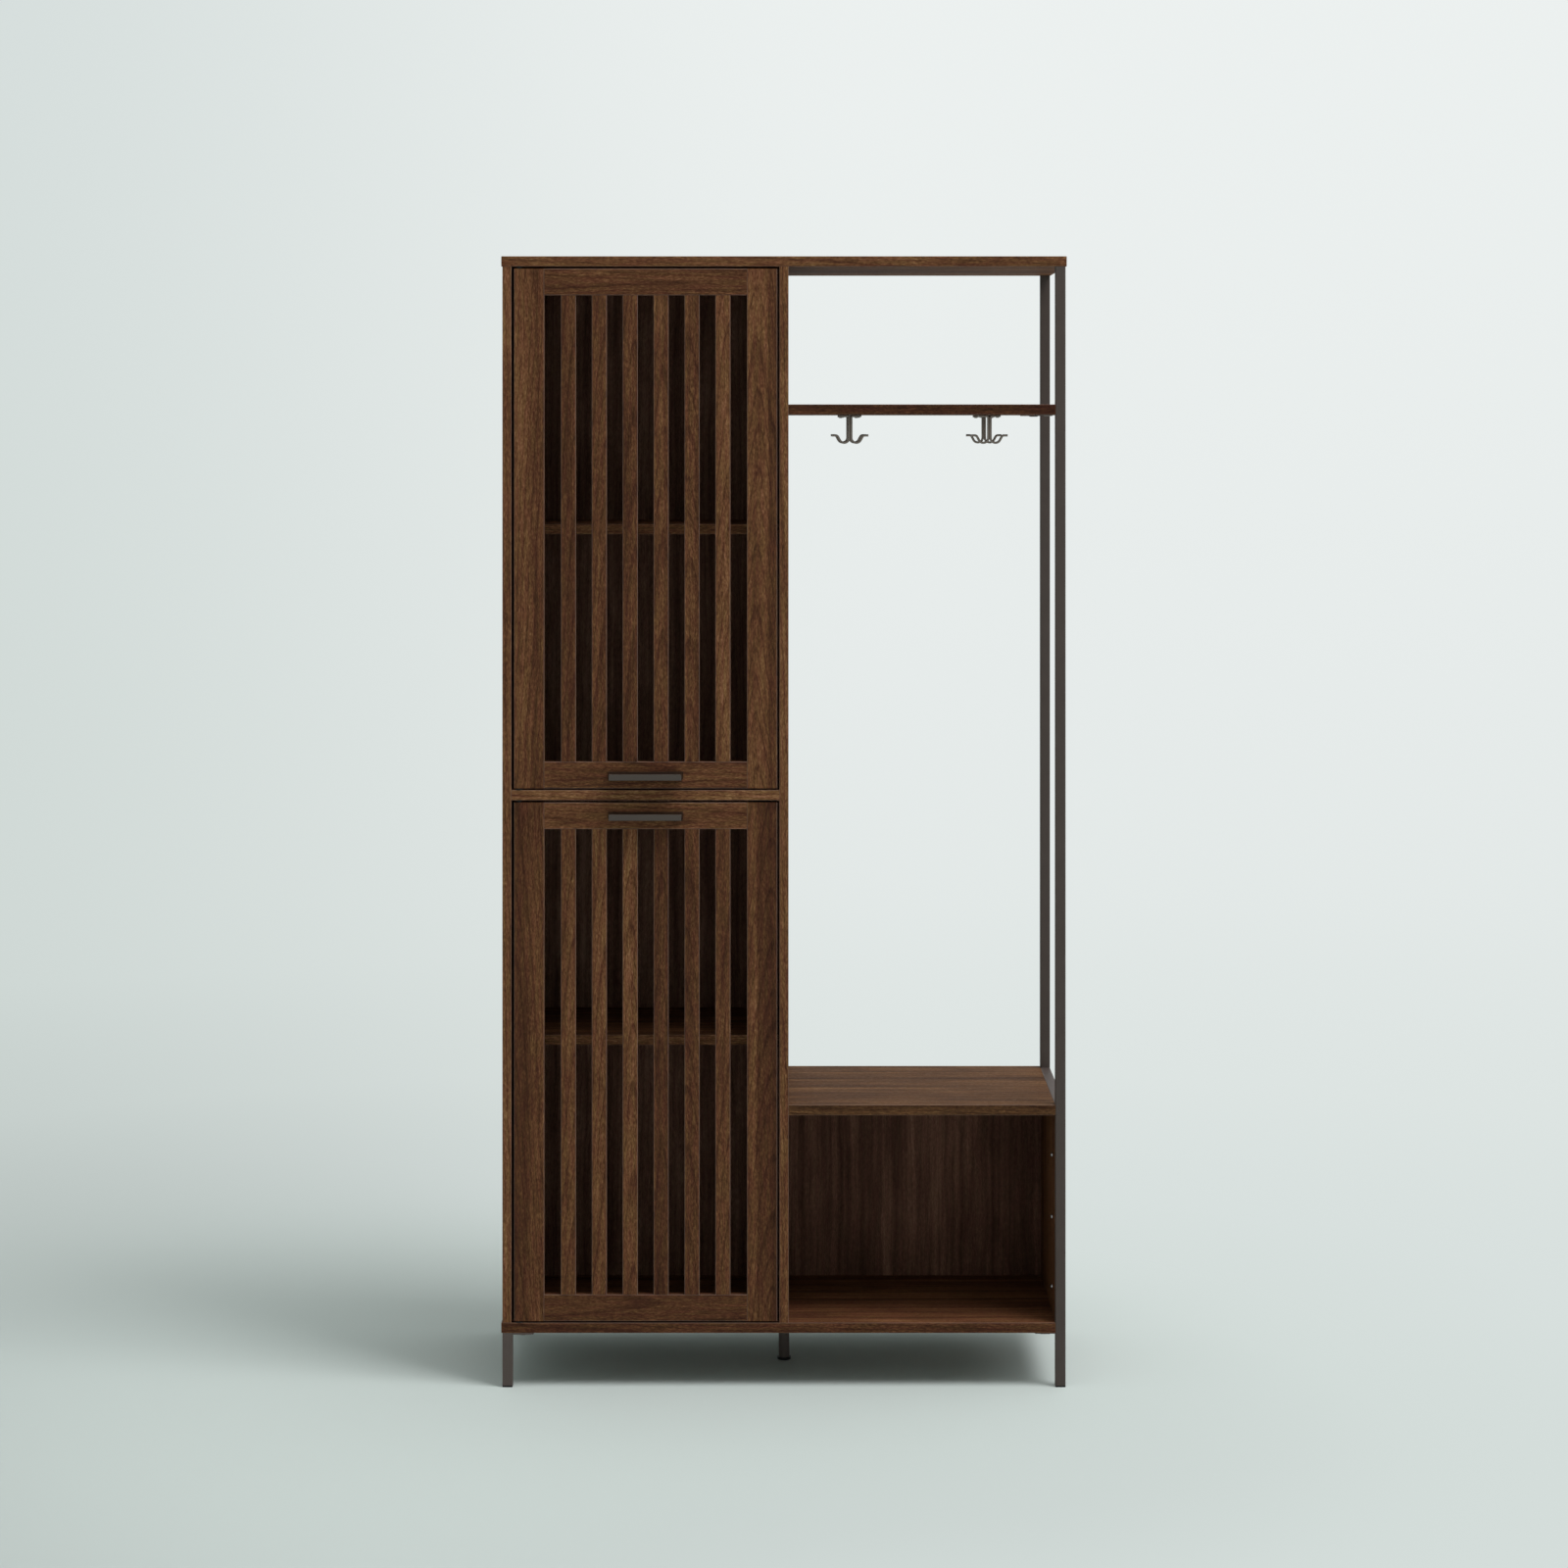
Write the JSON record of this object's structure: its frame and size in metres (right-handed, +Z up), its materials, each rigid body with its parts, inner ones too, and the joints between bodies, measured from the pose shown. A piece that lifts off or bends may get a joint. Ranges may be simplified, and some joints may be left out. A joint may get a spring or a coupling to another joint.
{
  "type": "hall tree",
  "caption": "Tall hall tree with a slatted two-door cabinet on the left and, on the right, an open coat bay with double hooks, a hat shelf and a bench in a steel frame.",
  "frame": {"origin": "on the floor, in the middle of the footprint with the handles included", "axes": "+X to the right, +Y from the front to the back, +Z up"},
  "size_m": [1, 0.428, 2],
  "materials": {
    "walnut_laminate": "matt walnut-look laminate",
    "frame_steel": "satin powder coat",
    "handle_metal": "satin gunmetal",
    "hook_steel": "satin gunmetal",
    "bright_steel": "zinc plated",
    "dark_steel": "black phosphate",
    "black_plastic": "moulded"
  },
  "bodies": {
    "carcass": {"top_panel": "walnut_laminate", "bottom_panel": "walnut_laminate", "left_side_panel": "walnut_laminate", "divider_panel": "walnut_laminate", "middle_panel": "walnut_laminate", "upper_shelf": "walnut_laminate", "lower_shelf": "walnut_laminate", "shelf_supports": "dark_steel", "cabinet_back_panel": "walnut_laminate", "bench_seat": "walnut_laminate", "bench_back_panel": "walnut_laminate", "bench_side_panel": "walnut_laminate", "bench_side_screws": "bright_steel", "coat_shelf": "walnut_laminate", "pivot_bushes": "black_plastic", "door_catches": "black_plastic", "wood_screws": "hook_steel", "frame_front_post": "frame_steel", "frame_rear_post": "frame_steel", "frame_seat_rail": "frame_steel", "frame_bottom_rail": "frame_steel", "frame_strap": "frame_steel", "frame_tabs": "frame_steel", "tab_bolts": "hook_steel", "left_front_leg": "frame_steel", "left_rear_leg": "frame_steel", "centre_leg": "frame_steel", "glide_feet": "black_plastic", "coat_hook_front_left": "hook_steel", "coat_hook_front_right": "hook_steel", "coat_hook_rear_left": "hook_steel", "coat_hook_rear_right": "hook_steel"},
    "upper_door": {"upper_door_hinge_stile": "walnut_laminate", "upper_door_free_stile": "walnut_laminate", "upper_door_top_rail": "walnut_laminate", "upper_door_bottom_rail": "walnut_laminate", "upper_door_slat_1": "walnut_laminate", "upper_door_slat_2": "walnut_laminate", "upper_door_slat_3": "walnut_laminate", "upper_door_slat_4": "walnut_laminate", "upper_door_slat_5": "walnut_laminate", "upper_door_slat_6": "walnut_laminate", "upper_door_handle": "handle_metal", "upper_door_handle_screws": "bright_steel", "upper_door_pivot_pins": "dark_steel", "upper_door_strike_plate": "bright_steel"},
    "lower_door": {"lower_door_hinge_stile": "walnut_laminate", "lower_door_free_stile": "walnut_laminate", "lower_door_top_rail": "walnut_laminate", "lower_door_bottom_rail": "walnut_laminate", "lower_door_slat_1": "walnut_laminate", "lower_door_slat_2": "walnut_laminate", "lower_door_slat_3": "walnut_laminate", "lower_door_slat_4": "walnut_laminate", "lower_door_slat_5": "walnut_laminate", "lower_door_slat_6": "walnut_laminate", "lower_door_handle": "handle_metal", "lower_door_handle_screws": "bright_steel", "lower_door_pivot_pins": "dark_steel", "lower_door_strike_plate": "bright_steel"}
  },
  "joints": [
    {"name": "upper_door_swing", "type": "hinge", "parent": "carcass", "child": "upper_door", "pos_m": [-0.4685, -0.18, 1.52], "axis": [0, 0, -1], "range_deg": [0, 110]},
    {"name": "lower_door_swing", "type": "hinge", "parent": "carcass", "child": "lower_door", "pos_m": [-0.4685, -0.18, 0.575], "axis": [0, 0, -1], "range_deg": [0, 110]}
  ]
}
